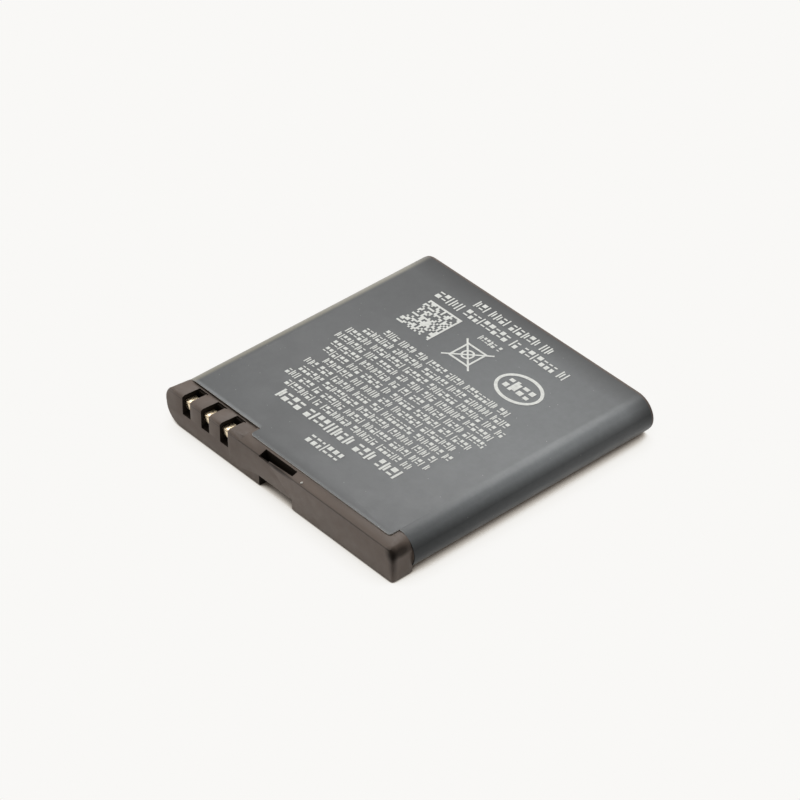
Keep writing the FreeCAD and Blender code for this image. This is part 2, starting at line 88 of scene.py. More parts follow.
# The radius of the pack's round sides, which is also the height of their middle
SECTION_MIDDLE = LABEL_TOP / 2

# The contacts' strip, from its tail in the slot over the nose to its foot on the board: places
# behind the contact face and heights
CONTACT_PATH = ((1.85, 4.05), (0.4, 4.19), (0.52, 3.1), (1.5, 2.4), (2.85, 2.4), (2.85, 3.05))
CONTACT_HALF_WIDTH = 0.6
CONTACT_PLACES = (3.85, 7.19, 10.53)
CONTACT_NODES = ("contact_positive", "contact_sense", "contact_negative")

# The openings of the contact cap. Near its back, a slot is wider to the right by its relief. The
# pocket and the notch are given by their low and high corners.
SLOT_HALF = 0.7
SLOT_RELIEF = 0.2
SLOT_BACK = 2.6
SLOT_FLOOR = 2.3
BLOCK_TOP = 4.67
POCKET = ((16.7, 0.07, 3.0), (22.05, 1.1, 4.7))
NOTCH = ((16.6, 0.07, 0.0), (22.3, 2.45, 1.5))


def place(x_place, y_place, height):
    """A point in the frame's metres from places in millimetres."""
    return Vector((PACK_LOW.x + x_place * MM, PACK_LOW.y + y_place * MM, height * MM))


def places_of(point):
    """The places in millimetres of a point in the frame's metres."""
    return (point.x - PACK_LOW.x) / MM, (point.y - PACK_LOW.y) / MM, point.z / MM


def clear_selection():
    """Leaves edit mode and deselects every object."""
    if bpy.context.mode != "OBJECT":
        bpy.ops.object.mode_set(mode="OBJECT")
    bpy.ops.object.select_all(action="DESELECT")


def take(piece):
    """Makes one object the only selected and the active one."""
    clear_selection()
    piece.select_set(True)
    bpy.context.view_layer.objects.active = piece


def finish_modifier(piece, kind, **settings):
    """Adds a modifier, sets it and applies it."""
    take(piece)
    modifier = piece.modifiers.new(kind.title(), kind)
    for name, value in settings.items():
        setattr(modifier, name, value)
    bpy.ops.object.modifier_apply(modifier=modifier.name)


def ease_edges(piece, width, angle=60, **settings):
    """Bevels the edges sharper than an angle in degrees, by a width in millimetres."""
    finish_modifier(piece, "BEVEL", width=width * MM, segments=2, limit_method="ANGLE",
                    angle_limit=math.radians(angle), **settings)


def named_primitive(name):
    """Names the object that an operator has just added, and its mesh."""
    piece = bpy.context.object
    piece.name = name
    piece.data.name = name
    return piece


def apply_placing():
    """Writes the place, the turn and the size of the active object into its mesh."""
    bpy.ops.object.transform_apply(location=True, rotation=True, scale=True)


def new_box(name, low, high):
    """A cube primitive between two corners, with its place in its mesh."""
    clear_selection()
    bpy.ops.mesh.primitive_cube_add(size=1.0, location=(low + high) / 2)
    piece = named_primitive(name)
    piece.scale = high - low
    apply_placing()
    return piece


def choose(piece, kind, test):
    """Selects in edit mode the faces, edges or vertices that pass a test, and nothing else."""
    mesh = bmesh.from_edit_mesh(piece.data)
    for part in (mesh.faces, mesh.edges, mesh.verts):
        for item in part:
            item.select_set(False)
    chosen = [item for item in getattr(mesh, kind) if test(item)]
    if not chosen:
        raise RuntimeError(f"{piece.name}: none of its {kind} passes the test")
    for item in chosen:
        item.select_set(True)
    bmesh.update_edit_mesh(piece.data)


def cut_across(point, normal):
    """Bisects the whole mesh in edit mode with a plane, removing nothing."""
    bpy.ops.mesh.select_all(action="SELECT")
    bpy.ops.mesh.bisect(plane_co=point, plane_no=normal, use_fill=False,
                        threshold=BISECT_THRESHOLD)


def leave_turned_outward():
    """Turns the faces of the mesh in edit mode outward and leaves edit mode."""
    bpy.ops.mesh.select_all(action="SELECT")
    bpy.ops.mesh.normals_make_consistent(inside=False)
    bpy.ops.object.mode_set(mode="OBJECT")


def smooth(piece, angle):
    """Shades a piece smooth, apart from edges sharper than an angle in degrees."""
    take(piece)
    bpy.ops.object.shade_smooth_by_angle(angle=math.radians(angle))


def dress(piece, material, slot, *nodes):
    """Gives a finished piece its material and its body, and hides the nodes it stands for. Its
    slot is not used.
    """
    piece.data.materials.clear()
    piece.data.materials.append(material)
    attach(piece, BODY)
    if nodes:
        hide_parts(*nodes)


def refined_copy(node, name, adjust, edge_width=0.0):
    """A copy of a frame node with its flats merged, its shape adjusted and its edges eased."""
    flat_angle = 0.5
    eased_angle = 35
    smooth_angle = 32
    clear_selection()
    piece = bpy.data.objects.new(name, frame["nodes"][node].data.copy())
    piece.data.name = name
    bpy.context.scene.collection.objects.link(piece)
    take(piece)
    bpy.ops.object.mode_set(mode="EDIT")
    bpy.ops.mesh.select_all(action="SELECT")
    bpy.ops.mesh.remove_doubles(threshold=SAME_PLACE)
    bpy.ops.mesh.dissolve_limited(angle_limit=math.radians(flat_angle))
    adjust(piece)
    bpy.ops.object.mode_set(mode="OBJECT")
    if edge_width:
        ease_edges(piece, edge_width, eased_angle, use_clamp_overlap=True,
                   miter_outer="MITER_ARC", harden_normals=False)
    smooth(piece, smooth_angle)
    return piece


# Materials

# The values between which most of a noise pattern lies, and the shader's own gloss
NOISE_BAND = (0.3, 0.7)
PLAIN_GLOSS = 0.5


class Surface:
    """A procedural material: a shader, a pattern space and the nodes added to them."""

    def __init__(self, name, colour, roughness, metallic=0.0):
        self.material = bpy.data.materials.new(name)
        self.material.use_nodes = True
        self.tree = self.material.node_tree
        self.shader = self.tree.nodes["Principled BSDF"]
        self.shader.inputs["Base Color"].default_value = (*colour, 1.0)
        self.shader.inputs["Roughness"].default_value = roughness
        self.shader.inputs["Metallic"].default_value = metallic
        self.space = self.tree.nodes.new("ShaderNodeTexCoord").outputs["Object"]
        self.axes = None
        self.bump = None

    def node(self, kind, **values):
        """Adds a node and sets its sockets or properties by name."""
        made = self.tree.nodes.new(kind)
        for name, value in values.items():
            key = name.replace("_", " ").title()
            if key in made.inputs:
                made.inputs[key].default_value = value
            else:
                setattr(made, name, value)
        return made

    def link(self, source, target):
        """Joins two sockets."""
        self.tree.links.new(source, target)

    def noise(self, scale, detail=3.0, stretch=None):
        """A noise pattern in object space, as a value between 0 and 1."""
        pattern = self.node("ShaderNodeTexNoise", scale=scale, detail=detail)
        pattern.inputs["Roughness"].default_value = 0.55
        source = self.space
        if stretch:
            mapping = self.node("ShaderNodeMapping")
            mapping.inputs["Scale"].default_value = stretch
            self.link(source, mapping.inputs["Vector"])
            source = mapping.outputs["Vector"]
        self.link(source, pattern.inputs["Vector"])
        return pattern.outputs["Fac"]

    def spread(self, value, old_range, new_range):
        """Maps a value from one range to another, clamped."""
        mapping = self.tree.nodes.new("ShaderNodeMapRange")
        limits = zip(("From Min", "From Max", "To Min", "To Max"), (*old_range, *new_range))
        for name, number in limits:
            mapping.inputs[name].default_value = number
        self.link(value, mapping.inputs["Value"])
        return mapping.outputs["Result"]

    def along(self, axis, places, values):
        """Maps places in millimetres along an axis to values, clamped."""
        if self.axes is None:
            self.axes = self.node("ShaderNodeSeparateXYZ")
            self.link(self.space, self.axes.inputs["Vector"])
        zero = {"X": PACK_LOW.x, "Y": PACK_LOW.y, "Z": 0.0}[axis]
        return self.spread(self.axes.outputs[axis], [zero + spot * MM for spot in places], values)

    def around(self, centre, distances, values):
        """Maps distances in millimetres from a place to values, clamped."""
        away = self.node("ShaderNodeVectorMath", operation="DISTANCE")
        self.link(self.space, away.inputs[0])
        away.inputs[1].default_value = place(*centre)
        return self.spread(away.outputs["Value"], [size * MM for size in distances], values)

    def combine(self, operation, first, second):
        """Joins two values by a math operation."""
        made = self.node("ShaderNodeMath", operation=operation)
        self.link(first, made.inputs[0])
        self.link(second, made.inputs[1])
        return made.outputs["Value"]

    def level_band(self, lower_edge, upper_edge, darkest):
        """A factor that is darkest in a level band and 1 outside its two soft edges."""
        return self.combine("MAXIMUM", self.along("Z", lower_edge, (1.0, darkest)),
                            self.along("Z", upper_edge, (darkest, 1.0)))

    def mix(self, factor, colour_a, colour_b):
        """Mixes two colours, each a socket or a triple, by a factor."""
        made = self.node("ShaderNodeMix", data_type="RGBA")
        self.link(factor, made.inputs[0])
        for socket, colour in ((made.inputs[6], colour_a), (made.inputs[7], colour_b)):
            if isinstance(colour, bpy.types.NodeSocket):
                self.link(colour, socket)
            else:
                socket.default_value = (*colour, 1.0)
        return made.outputs[2]

    def add_bump(self, value, strength, depth):
        """Adds a layer of bump, its depth in millimetres, over the layers already there."""
        layer = self.node("ShaderNodeBump", strength=strength, distance=depth * MM)
        self.link(value, layer.inputs["Height"])
        if self.bump:
            self.link(self.bump, layer.inputs["Normal"])
        self.bump = layer.outputs["Normal"]
        self.link(self.bump, self.shader.inputs["Normal"])

    def use_colour(self, colour):
        """Sends a colour to the shader."""
        self.link(colour, self.shader.inputs["Base Color"])

    def use_roughness(self, value):
        """Sends a roughness to the shader."""
        self.link(value, self.shader.inputs["Roughness"])

    def sent_colour(self):
        """The colour that the shader gets so far."""
        return self.shader.inputs["Base Color"].links[0].from_socket

    def scale_colour(self, factor):
        """Multiplies the colour already sent to the shader by a factor."""
        scaled = self.node("ShaderNodeVectorMath", operation="SCALE")
        self.link(self.sent_colour(), scaled.inputs[0])
        self.link(factor, scaled.inputs["Scale"])
        self.use_colour(scaled.outputs["Vector"])

    def scale_gloss(self, factor):
        """Multiplies the gloss of the shader by a factor."""
        socket = self.shader.inputs["Specular IOR Level"]
        scaled = self.node("ShaderNodeMath", operation="MULTIPLY")
        if socket.is_linked:
            self.link(socket.links[0].from_socket, scaled.inputs[0])
        else:
            scaled.inputs[0].default_value = socket.default_value
        self.link(factor, scaled.inputs[1])
        self.link(scaled.outputs["Value"], socket)

    def scale_colour_and_gloss(self, factor):
        """Multiplies both the colour and the gloss by a factor."""
        self.scale_colour(factor)
        self.scale_gloss(factor)

    def joint_and_shade_line(self, height, half_width, depth, darkest):
        """Darkens a thin level line near the contact face: the cap's dark parting line, and
        painted shade at the bend of a contact's nose.
        """
        inner, outer = 0.5 * half_width, 1.5 * half_width
        line = self.level_band((height - outer, height - inner), (height + inner, height + outer),
                               darkest)
        behind = self.along("Y", (depth, depth + 0.1), (0.0, 1.0))
        self.scale_colour(self.combine("MAXIMUM", line, behind))

    def painted_shade_spot(self, centre, reach, darkest):
        """Darkens a soft oval patch of painted shade round a place given in millimetres."""
        mapping = self.node("ShaderNodeMapping")
        mapping.inputs["Scale"].default_value = [1 / (size * MM) for size in reach]
        mapping.inputs["Location"].default_value = [
            -value / (size * MM) for value, size in zip(place(*centre), reach)]
        self.link(self.space, mapping.inputs["Vector"])
        away = self.node("ShaderNodeVectorMath", operation="LENGTH")
        self.link(mapping.outputs["Vector"], away.inputs[0])
        self.scale_colour_and_gloss(self.spread(away.outputs["Value"], (0.35, 1.0), (darkest, 1.0)))

    def darken_hollows(self, reach, darkest):
        """Darkens the colour and the gloss as painted shade in slots and corners, where other
        surfaces are near.
        """
        hollow = self.node("ShaderNodeAmbientOcclusion", samples=8)
        hollow.inputs["Distance"].default_value = reach * MM
        self.scale_colour_and_gloss(self.spread(hollow.outputs["AO"], (0.25, 0.85), (darkest, 1.0)))


def shade(colour, factor):
    """A colour made lighter or darker."""
    return tuple(min(1.0, channel * factor) for channel in colour)


def plain_surface(name, colour, roughness, gloss=PLAIN_GLOSS):
    """A material with fine grain, slow colour variation and uneven roughness."""
    wander = 0.12
    unevenness = 0.06
    surface = Surface(name, colour, roughness)
    surface.shader.inputs["Specular IOR Level"].default_value = gloss
    slow = surface.noise(260.0)
    surface.use_colour(surface.mix(slow, shade(colour, 1 - wander), shade(colour, 1 + wander)))
    fine = surface.noise(4000.0)
    surface.use_roughness(surface.spread(fine, NOISE_BAND,
                                         (roughness - unevenness, roughness + unevenness)))
    surface.add_bump(fine, 0.35, 0.004)
    return surface.material


# Painted shade on the contact cap, at its right front corner, under its right shoulder and at the
# pocket's mouth: the middle of each patch and its reach along the three axes in millimetres, and
# the share of the colour that is left at its middle
CAP_PAINTED_SHADE = (
    ((39.0, 0.1, 4.0), (1.2, 0.9, 1.4), 0.3),
    ((39.2, 0.0, 2.7), (0.8, 0.8, 2.6), 0.55),
    ((39.2, 1.4, 3.9), (1.3, 1.9, 0.9), 0.32),
    ((19.7, 0.2, 4.3), (3.3, 0.45, 0.3), 0.2),
)


def cap_plastic():
    """Dark brown-grey moulding with a fine spark-eroded grain, faint handling marks and a dark
    parting line, with painted shade in its hollows, at its right front corner and at its pocket.
    """
    colour = tuple(bpy.context.scene.pack_finish.cap_colour)
    surface = Surface("cap_plastic", colour, 0.5)
    slow = surface.noise(180.0, detail=4.0)
    marks = surface.noise(900.0, detail=5.0, stretch=(1.0, 3.0, 1.0))
    base = surface.mix(surface.spread(slow, NOISE_BAND, (0.0, 1.0)), shade(colour, 0.92),
                       shade(colour, 1.08))
    surface.use_colour(surface.mix(surface.spread(marks, (0.62, 0.8), (0.0, 0.35)), base,
                                   shade(colour, 1.35)))
    surface.use_roughness(surface.spread(marks, NOISE_BAND, (0.44, 0.58)))
    # Painted shade in the slots, the pocket, the notch and the corners
    surface.darken_hollows(reach=0.9, darkest=0.35)
    surface.joint_and_shade_line(height=4.4, half_width=0.035, depth=0.25, darkest=0.45)
    # Painted shade patches at the cap's right front corner, under its shoulder and at the pocket
    for centre, reach, darkest in CAP_PAINTED_SHADE:
        surface.painted_shade_spot(centre, reach, darkest)
    surface.add_bump(surface.noise(9000.0, detail=2.0), 0.5, 0.006)
    surface.add_bump(slow, 0.3, 0.02)
    return surface.material


def light_film(surface):
    """Lightens and darkens the film by place, as the light in the picture falls on it."""
    sheen = surface.around((33, 26, LABEL_TOP), (4, 26), (1.45, 0.74))
    bright_corner = surface.around((1, 4, LABEL_TOP), (2, 12), (1.35, 1.0))
    right_edge = surface.along("X", (37, 38), (1.0, 1.6))
    for factor in (sheen, bright_corner, right_edge):
        surface.scale_colour(factor)
    dark_sides = surface.level_band((0.1, 0.7), (3.4, 4.35), 0.36)
    surface.scale_colour_and_gloss(dark_sides)


def film_edge_light_and_shade(surface):
    """Painted highlights on the film beside the contact cap and at the tongue's tip, a painted
    warm reflection on the left shoulder and painted shade at the far edge.
    """
    warm_reflection = (0.30, 0.28, 0.22)
    # Painted highlight on the film along the slit beside the contact cap
    slit_edge = surface.along("Y", (CAP_REACH + 0.15, CAP_REACH + 0.5), (1.0, 0.0))
    beside_tongue = surface.along("X", (TONGUE_LEFT - 0.3, TONGUE_LEFT), (1.0, 0.0))
    slit_highlight = surface.combine("MULTIPLY", slit_edge, beside_tongue)
    surface.scale_colour(surface.spread(slit_highlight, (0.0, 1.0), (1.0, 2.1)))
    # Painted highlight along the front edge of the tongue
    tongue_tip = surface.along("Y", (TONGUE_FRONT + 0.12, TONGUE_FRONT + 0.4), (1.75, 1.0))
    surface.scale_colour(tongue_tip)
    # Painted warm reflection of the table on the upper left shoulder of the film
    left_side = surface.along("X", (1.75, 2.25), (0.75, 0.0))
    upper_side = surface.along("Z", (3.5, 4.2), (0.0, 1.0))
    shoulder_reflection = surface.combine("MULTIPLY", left_side, upper_side)
    surface.use_colour(surface.mix(shoulder_reflection, surface.sent_colour(), warm_reflection))
    # Painted shade towards the film's far edge
    far_edge = surface.along("Y", (LABEL_BACK - 3.2, LABEL_BACK), (1.0, 0.4))
    surface.scale_colour(far_edge)


def label_film():
    """Slate-grey satin film, slightly uneven over its glue, with fine dust on it."""
    dust_colour = (0.55, 0.55, 0.52)
    colour = tuple(bpy.context.scene.pack_finish.label_colour)
    surface = Surface("label_film", colour, 0.42)
    slow = surface.noise(70.0)
    cloud = surface.noise(420.0, detail=5.0)
    mottle = surface.noise(1500.0, detail=4.0)
    base = surface.mix(surface.spread(slow, (0.35, 0.65), (0.0, 1.0)), shade(colour, 0.95),
                       shade(colour, 1.05))
    base = surface.mix(surface.spread(cloud, (0.55, 0.8), (0.0, 0.25)), base, shade(colour, 1.2))
    base = surface.mix(surface.spread(mottle, NOISE_BAND, (0.0, 0.22)), base, shade(colour, 0.55))
    dust = surface.node("ShaderNodeTexVoronoi", scale=900.0)
    surface.link(surface.space, dust.inputs["Vector"])
    speck = surface.spread(dust.outputs["Distance"], (0.03, 0.06), (0.5, 0.0))
    surface.use_colour(surface.mix(speck, base, dust_colour))
    surface.use_roughness(surface.spread(cloud, NOISE_BAND, (0.36, 0.48)))
    light_film(surface)
    film_edge_light_and_shade(surface)
    surface.shader.inputs["Coat Weight"].default_value = 0.15
    surface.shader.inputs["Coat Roughness"].default_value = 0.3
    surface.add_bump(slow, 0.35, 0.05)
    surface.add_bump(surface.noise(6000.0, detail=2.0), 0.25, 0.003)
    return surface.material


def cut_edge():
    """The pale cut edge of the film, partly a painted highlight, with painted shade where it runs
    down the pack's sides.
    """
    surface = Surface("cut_film_edge", (0.72, 0.72, 0.70), 0.5)
    fine = surface.noise(3000.0)
    surface.use_colour(surface.mix(fine, (0.60, 0.60, 0.58), (0.80, 0.80, 0.78)))
    # Painted shade on the cut edge below the top of the pack
    surface.scale_colour_and_gloss(surface.along("Z", (LABEL_TOP - 0.3, LABEL_TOP - 0.15), (0.08, 1.0)))
    surface.add_bump(fine, 0.3, 0.003)
    return surface.material


def print_ink():
    """Matt off-white ink, a little thin in places."""
    colour = tuple(bpy.context.scene.pack_finish.print_colour)
    surface = Surface("print_ink", colour, 0.6)
    patchy = surface.noise(2600.0, detail=4.0)
    surface.use_colour(surface.mix(surface.spread(patchy, (0.35, 0.7), (0.0, 1.0)),
                                   shade(colour, 0.82), colour))
    surface.add_bump(patchy, 0.3, 0.003)
    return surface.material


def gold_flash():
    """Gold flash on a drawn copper alloy strip, with a dark line of painted shade at the bend of
    the nose.
    """
    colour = tuple(bpy.context.scene.pack_finish.gold_colour)
    surface = Surface("gold_flash", colour, 0.24, metallic=1.0)
    drawn = surface.noise(1500.0, stretch=(6.0, 1.0, 1.0))
    surface.use_colour(surface.mix(surface.spread(drawn, NOISE_BAND, (0.0, 1.0)),
                                   shade(colour, 0.88), colour))
    surface.use_roughness(surface.spread(drawn, NOISE_BAND, (0.18, 0.34)))
    # Painted shade where the strip bends at the nose, between its upper and lower faces
    surface.joint_and_shade_line(height=4.1, half_width=0.04, depth=0.36, darkest=0.1)
    surface.add_bump(drawn, 0.25, 0.004)
    return surface.material


def drawn_metal(name, colour, roughness, stretch):
    """Bare metal with fine lines along its drawing or rolling direction."""
    surface = Surface(name, colour, roughness, metallic=1.0)
    lines = surface.noise(1200.0, detail=4.0, stretch=stretch)
    surface.use_colour(surface.mix(lines, shade(colour, 0.86), shade(colour, 1.06)))
    surface.use_roughness(surface.spread(lines, NOISE_BAND, (roughness - 0.08, roughness + 0.1)))
    surface.add_bump(lines, 0.3, 0.006)
    return surface.material


# Slots of the parts inside the pack, each with its colour and its roughness
INSIDE_FINISHES = {
    "board": ((0.030, 0.130, 0.050), 0.35),
    "chip_case": ((0.020, 0.020, 0.022), 0.55),
    "resistor_body": ((0.040, 0.040, 0.046), 0.30),
    "capacitor_body": ((0.300, 0.200, 0.110), 0.45),
    "fuse_body": ((0.330, 0.200, 0.040), 0.45),
    "insulating_paper": ((0.560, 0.520, 0.400), 0.80),
    "gasket_polymer": ((0.650, 0.650, 0.630), 0.45),
    "wound_foil": ((0.130, 0.105, 0.090), 0.50),
    "adhesive": ((0.500, 0.500, 0.480), 0.70),
}


# Pieces

def in_hollow(face):
    """Whether a face of the contact cap lies inside a slot, the pocket or the notch."""
    spot = places_of(face.calc_center_median())
    x_place, y_place, height = spot
    margin = 0.02
    front_skin = 0.07
    mouth_top = 4.6
    for middle in CONTACT_PLACES:
        left = middle - SLOT_HALF - margin
        right = middle + SLOT_HALF + margin
        if (left < x_place < right + SLOT_RELIEF and front_skin < y_place < SLOT_BACK + margin
                and SLOT_FLOOR - margin < height < mouth_top):
            return x_place < right or y_place > SLOT_BACK - SLOT_RELIEF - margin
    return any(all(bottom - margin < value < top + margin
                   for bottom, value, top in zip(low, spot, high))
               for low, high in (POCKET, NOTCH))


def crown_contact_block(piece):
    """Lifts the top of the contact block towards the front and fills out its round end."""
    near = 0.01
    # How far from the left side the lift ends, the part without it starts and the block ends
    lift_end, flat_part, block_end = 11.6, 11.7, 13.25
    # The lift at the front of the flat top, the top's place and its depth
    lift, top_front, top_depth = 0.17, 0.35, 2.5
    # The height of the bevel's foot, its rise with depth and its depth
    bevel_foot, bevel_rise, bevel_depth = 4.4, 0.323, 0.5
    # The depth within which a point is on the front, and the lifted height of the bevel's foot
    front_depth, lifted_foot = 0.1, 4.68
    # The round end's middle, how much fuller its shoulder gets and how that fades with depth
    round_middle, fuller, full_depth, fade_depth = 2.6, 0.3, 0.6, 3.2
    highest = 4.86
    cut_across(place(lift_end, 0, 0), (1, 0, 0))
    mesh = bmesh.from_edit_mesh(piece.data)
    for vert in mesh.verts:
        x_place, y_place, height = places_of(vert.co)
        on_top = height > BLOCK_TOP - near
        if y_place > CAP_REACH + near or x_place > block_end:
            continue
        if x_place > flat_part:
            if on_top and y_place < bevel_depth:
                vert.co.z = (bevel_foot + y_place * bevel_rise) * MM
            continue
        if on_top:
            vert.co.z = (BLOCK_TOP + lift * (1 - (y_place - top_front) / top_depth)) * MM
        elif height > bevel_foot - near and y_place < front_depth:
            vert.co.z = lifted_foot * MM
        if x_place < round_middle and height > SECTION_MIDDLE:
            angle = math.atan2(height - SECTION_MIDDLE, round_middle - x_place)
            fade = 1 - max(0.0, y_place - full_depth) / fade_depth
            swell = fuller * math.sin(2 * angle) * fade
            vert.co.x = max(vert.co.x - swell * math.cos(angle) * MM, PACK_LOW.x)
            vert.co.z = min(vert.co.z + swell * math.sin(angle) * MM, highest * MM)
    bmesh.update_edit_mesh(piece.data)


def build_contact_cap():
    """The moulded contact cap, with its edges eased and nearly black painted shade on the faces
    of its hollows.
    """
    piece = refined_copy("end_cap", "contact_cap", crown_contact_block, edge_width=0.045)
    dress(piece, cap_plastic(), "cap_plastic", "end_cap")
    # Painted shade: the faces inside the slots, the pocket and the notch get a nearly black
    # plastic
    piece.data.materials.append(
        plain_surface("hollow_plastic", (0.020, 0.015, 0.011), 0.75, gloss=0.12))
    take(piece)
    bpy.ops.object.mode_set(mode="EDIT")
    bpy.ops.mesh.select_mode(type="FACE")
    choose(piece, "faces", in_hollow)
    piece.active_material_index = 1
    bpy.ops.object.material_slot_assign()
    bpy.ops.object.mode_set(mode="OBJECT")


def sharpen_far_edge(piece):
    """Draws the far cap's round outer edge out to a tighter one, flush with the label."""
    kept_share = 0.15
    rim_start = LABEL_BACK + 0.03
    side_inset = 0.055
    rim_depth = 0.5
    far_end = (PACK_HIGH.y - PACK_LOW.y) / MM
    span = (PACK_HIGH.x - PACK_LOW.x) / 2 - (SECTION_MIDDLE + side_inset) * MM
    mesh = bmesh.from_edit_mesh(piece.data)
    for vert in mesh.verts:
        y_place = places_of(vert.co)[1]
        if y_place < rim_start:
            continue
        core = Vector((min(span, max(-span, vert.co.x)), vert.co.y, SECTION_MIDDLE * MM))
        outward = vert.co - core
        inset = SECTION_MIDDLE - outward.length / MM
        if inset < rim_depth:
            reach = (SECTION_MIDDLE - inset * kept_share) * MM
            vert.co = core + outward.normalized() * reach
            vert.co.y = PACK_LOW.y + (far_end - (far_end - y_place) * kept_share) * MM
    bmesh.update_edit_mesh(piece.data)


def build_far_cap():
    """The thin cap on the far end."""
    piece = refined_copy("far_cap", "closing_cap", sharpen_far_edge)
    dress(piece, bpy.data.materials["cap_plastic"], "cap_plastic", "far_cap")


def round_tube():
    """The film's outside: an open tube with round sides, cut at the tongue and at the seam."""
    film = new_box("wrapped_label", place(0, CAP_REACH, 0),
                   place((PACK_HIGH.x - PACK_LOW.x) / MM, LABEL_BACK, LABEL_TOP))
    take(film)
    bpy.ops.object.mode_set(mode="EDIT")
    bpy.ops.mesh.select_mode(type="FACE")
    choose(film, "faces", lambda face: abs(face.normal.y) > 0.9)
    bpy.ops.mesh.delete(type="FACE")
    bpy.ops.mesh.select_mode(type="EDGE")
    choose(film, "edges", lambda edge: abs(edge.verts[0].co.y - edge.verts[1].co.y) > MM)
    bpy.ops.mesh.bevel(offset=SECTION_MIDDLE * MM, segments=18, profile=0.5, affect="EDGES",
                       clamp_overlap=True)
    bpy.ops.mesh.select_all(action="SELECT")
    bpy.ops.mesh.remove_doubles(threshold=SAME_PLACE)
    for x_place in (TONGUE_LEFT, TONGUE_RIGHT) + LABEL_SEAM:
        cut_across(place(x_place, 0, 0), (1, 0, 0))
    return film


def add_tongue(film):
    """Extrudes the tongue over the contact cap in edit mode and rounds its two corners."""
    root = place(TONGUE_LEFT, CAP_REACH, LABEL_TOP)
    tip = place(TONGUE_RIGHT, TONGUE_FRONT, LABEL_TOP)

    def in_root(edge):
        return all(vert.co.z > root.z - SAME_PLACE and vert.co.y < root.y + SAME_PLACE
                   and root.x - SAME_PLACE < vert.co.x < tip.x + SAME_PLACE
                   for vert in edge.verts)

    choose(film, "edges", in_root)
    bpy.ops.mesh.extrude_region_move(
        TRANSFORM_OT_translate={"value": (0, (TONGUE_FRONT - CAP_REACH) * MM, 0)})
    bpy.ops.mesh.select_mode(type="VERT")
    choose(film, "verts", lambda vert: vert.co.y < tip.y + SAME_PLACE
           and min(abs(vert.co.x - root.x), abs(vert.co.x - tip.x)) < SAME_PLACE)
    bpy.ops.mesh.bevel(offset=0.4 * MM, segments=5, affect="VERTICES")


def open_seam(film):
    """Opens the seam on the underside in edit mode."""
    start, end = (place(spot, 0, 0).x for spot in LABEL_SEAM)
    bpy.ops.mesh.select_mode(type="FACE")
    choose(film, "faces", lambda face: face.calc_center_median().z < SAME_PLACE
           and start < face.calc_center_median().x < end)
    bpy.ops.mesh.delete(type="FACE")


def build_label():
    """The film round the pack: a round-sided tube with a tongue over the contact cap."""
    film = round_tube()
    add_tongue(film)
    open_seam(film)
    leave_turned_outward()
    dress(film, label_film(), "label_film", "label_wrap")
    film.data.materials.append(cut_edge())
    finish_modifier(film, "SOLIDIFY", thickness=0.12 * MM, offset=-1.0, use_even_offset=True,
                    material_offset_rim=1)
    ease_edges(film, width=0.025)
    smooth(film, angle=35)


def add_bar(x_middle, y_middle, width, length):
    """Adds one flat bar to the print that is open in edit mode."""
    spot = place(x_middle, y_middle, LABEL_TOP)
    bpy.ops.mesh.primitive_plane_add(size=MM, location=spot)
    bpy.ops.transform.resize(value=(width, length, 1.0), center_override=spot)


# The kinds of clusters in a row
LONE_TICK, BLOCK_OVER_BAR, BAR_OVER_BLOCK, TICK_PAIR = range(4)


def tick_group(kind, left, y_middle, width, height, stroke):
    """One cluster of a row: plain ticks and blocks that form no sign."""
    middle = left + width / 2
    block = height / 2 - stroke / 2
    bar_place = height / 4 + stroke / 4
    if kind == LONE_TICK:
        add_bar(middle, y_middle, stroke, height)
    elif kind == BLOCK_OVER_BAR:
        add_bar(middle, y_middle + height / 4, width, block)
        add_bar(middle, y_middle - bar_place, width, stroke)
    elif kind == BAR_OVER_BLOCK:
        add_bar(middle, y_middle - height / 4, width, block)
        add_bar(middle, y_middle + bar_place, width, stroke)
    else:
        add_bar(left + width * 0.22, y_middle, stroke, height)
        add_bar(left + width * 0.78, y_middle, stroke, height * 0.7)


def tick_row(draw, x_start, x_end, y_middle, height, stroke):
    """A row of clusters in word-long groups between two places."""
    cluster_gap = height * 0.18
    word_gap = height * 0.34
    left = x_start
    word_left = draw.randint(3, 9)
    while left < x_end - stroke:
        kind = draw.randint(LONE_TICK, TICK_PAIR)
        width = stroke if kind == LONE_TICK else height * draw.uniform(0.34, 0.5)
        width = min(width, x_end - left)
        tick_group(kind, left, y_middle, width, height, stroke)
        left += width + cluster_gap
        word_left -= 1
        if word_left == 0:
            left += word_gap
            word_left = draw.randint(2, 9)


def checked_patch(draw, left, front, size, cells):
    """A square field of scattered cells with two solid borders."""
    step = size / cells
    drawn_share = 0.98
    add_bar(left + size / 2, front + size - step / 2, size, step)
    add_bar(left + size - step / 2, front + (size - step) / 2, step, size - step)
    for row in range(cells - 1):
        start = None
        for column in range(cells):
            filled = column < cells - 1 and draw.random() < 0.5
            if filled and start is None:
                start = column
            if not filled and start is not None:
                run = column - start
                add_bar(left + (start + run / 2) * step, front + (row + 0.5) * step,
                        run * step * drawn_share, step * drawn_share)
                start = None


def add_slash(x_middle, y_middle, length, width, turn, sunk):
    """Adds a thin bar turned about its middle, a little lower than the marks it crosses."""
    spot = place(x_middle, y_middle, LABEL_TOP - sunk)
    bpy.ops.mesh.primitive_plane_add(size=MM, location=spot, rotation=(0, 0, math.radians(turn)))
    mesh = bmesh.from_edit_mesh(bpy.context.object.data)
    way = Vector((math.cos(math.radians(turn)), math.sin(math.radians(turn)), 0))
    across = Vector((-way.y, way.x, 0))
    for vert in mesh.verts:
        if vert.select:
            offset = vert.co - spot
            vert.co = spot + way * offset.dot(way) * length + across * offset.dot(across) * width
    bmesh.update_edit_mesh(bpy.context.object.data)


